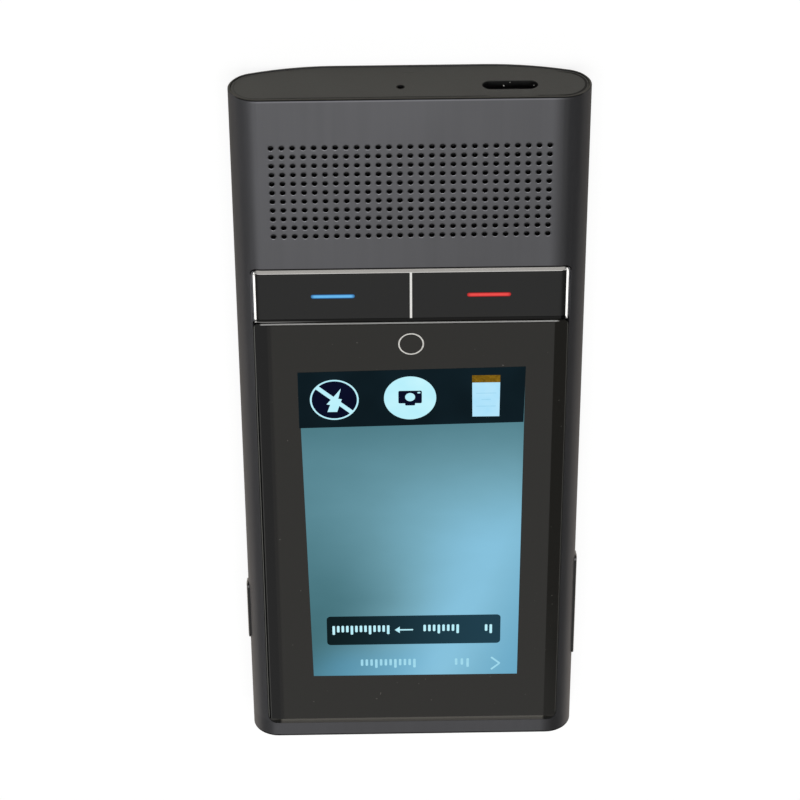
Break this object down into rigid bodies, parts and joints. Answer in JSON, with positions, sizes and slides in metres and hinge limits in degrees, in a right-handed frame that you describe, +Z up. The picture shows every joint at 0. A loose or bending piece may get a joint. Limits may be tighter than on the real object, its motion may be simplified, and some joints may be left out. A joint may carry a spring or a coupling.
{
  "type": "handheld translator",
  "caption": "Slim handheld speech translator: a metal sleeve with a perforated speaker field, two talk keys, a touch screen, side keys and a charging socket.",
  "frame": {"origin": "on the surface it lies on, under the middle of the back", "axes": "+X across the body, +Y along it from the charging end to the head end, +Z up out of the screen"},
  "size_m": [0.0592, 0.1338, 0.0114],
  "materials": {
    "anodised_sleeve": "fine matte anodised",
    "dark_cap": "matte anodised",
    "cover_glass": "polished",
    "polished_trim": "polished",
    "key_black": "satin",
    "light_blue": "clear, lit",
    "light_red": "clear, lit",
    "display": "lit",
    "white_plastic": "satin",
    "chassis_alloy": "cast, matte",
    "circuit_board": "solder mask",
    "flat_cable": "satin",
    "spring_steel": "bright",
    "tin_plate": "satin",
    "gold_plate": "bright",
    "black_rubber": "matte",
    "black_plastic": "matte",
    "adhesive": "matte",
    "pouch_foil": "soft foil",
    "lens_glass": "coated",
    "clear_plastic": "clear",
    "mesh_cloth": "woven"
  },
  "bodies": {
    "body": {"housing": "anodised_sleeve", "port_end_cap": "dark_cap", "head_end_cap": "dark_cap", "cover_glass": "cover_glass", "glass_tape": "adhesive", "display_cell": "display", "backlight": "white_plastic", "display_flex": "flat_cable", "chassis": "chassis_alloy", "key_trim_frame": "polished_trim", "key_board": "circuit_board", "blue_key_domes": "spring_steel", "red_key_domes": "spring_steel", "key_leds": "white_plastic", "key_flex": "flat_cable", "power_switch_board": "circuit_board", "power_dome": "spring_steel", "volume_switch_board": "circuit_board", "volume_domes": "spring_steel", "main_board": "circuit_board", "head_board": "circuit_board", "link_flex": "flat_cable", "upper_shield_can": "tin_plate", "lower_shield_can": "tin_plate", "usb_socket_shell": "tin_plate", "usb_socket_tongue": "black_plastic", "port_microphone": "gold_plate", "port_mic_boot": "black_rubber", "head_microphone": "gold_plate", "head_mic_boot": "black_rubber", "speaker_box": "black_plastic", "speaker_diaphragm": "black_plastic", "speaker_gasket": "black_rubber", "speaker_mesh": "mesh_cloth", "speaker_contacts": "gold_plate", "battery": "pouch_foil", "battery_tape": "adhesive", "battery_lead": "flat_cable", "vibration_motor": "tin_plate", "head_antenna": "gold_plate", "camera_module": "black_plastic", "camera_lens": "lens_glass", "camera_window": "lens_glass", "camera_ring": "polished_trim", "flash_led": "clear_plastic", "flash_lens": "clear_plastic", "board_screws": "tin_plate"},
    "blue_key": {"blue_key": "key_black", "blue_light_bar": "light_blue"},
    "red_key": {"red_key": "key_black", "red_light_bar": "light_red"},
    "power_key": {"power_key": "key_black"},
    "volume_rocker": {"volume_rocker": "key_black"}
  },
  "joints": [
    {"name": "blue_key_press", "type": "slide", "parent": "body", "child": "blue_key", "axis": [0, 0, -1], "range_m": [0, 0.0003], "stiffness_N_per_m": 600, "springref_m": -0.0005, "deforming": ["blue_key_domes"]},
    {"name": "red_key_press", "type": "slide", "parent": "body", "child": "red_key", "axis": [0, 0, -1], "range_m": [0, 0.0003], "stiffness_N_per_m": 600, "springref_m": -0.0005, "deforming": ["red_key_domes"]},
    {"name": "power_key_press", "type": "slide", "parent": "body", "child": "power_key", "axis": [-1, 0, 0], "range_m": [0, 0.0003], "stiffness_N_per_m": 600, "springref_m": -0.0005, "deforming": ["power_dome"]},
    {"name": "volume_rock", "type": "hinge", "parent": "body", "child": "volume_rocker", "pos_m": [-0.0272, 0.0399, 0.0067], "axis": [0, 0, 1], "range_deg": [-1.2, 1.2], "stiffness_Nm_per_rad": 0.03, "deforming": ["volume_domes"]}
  ]
}
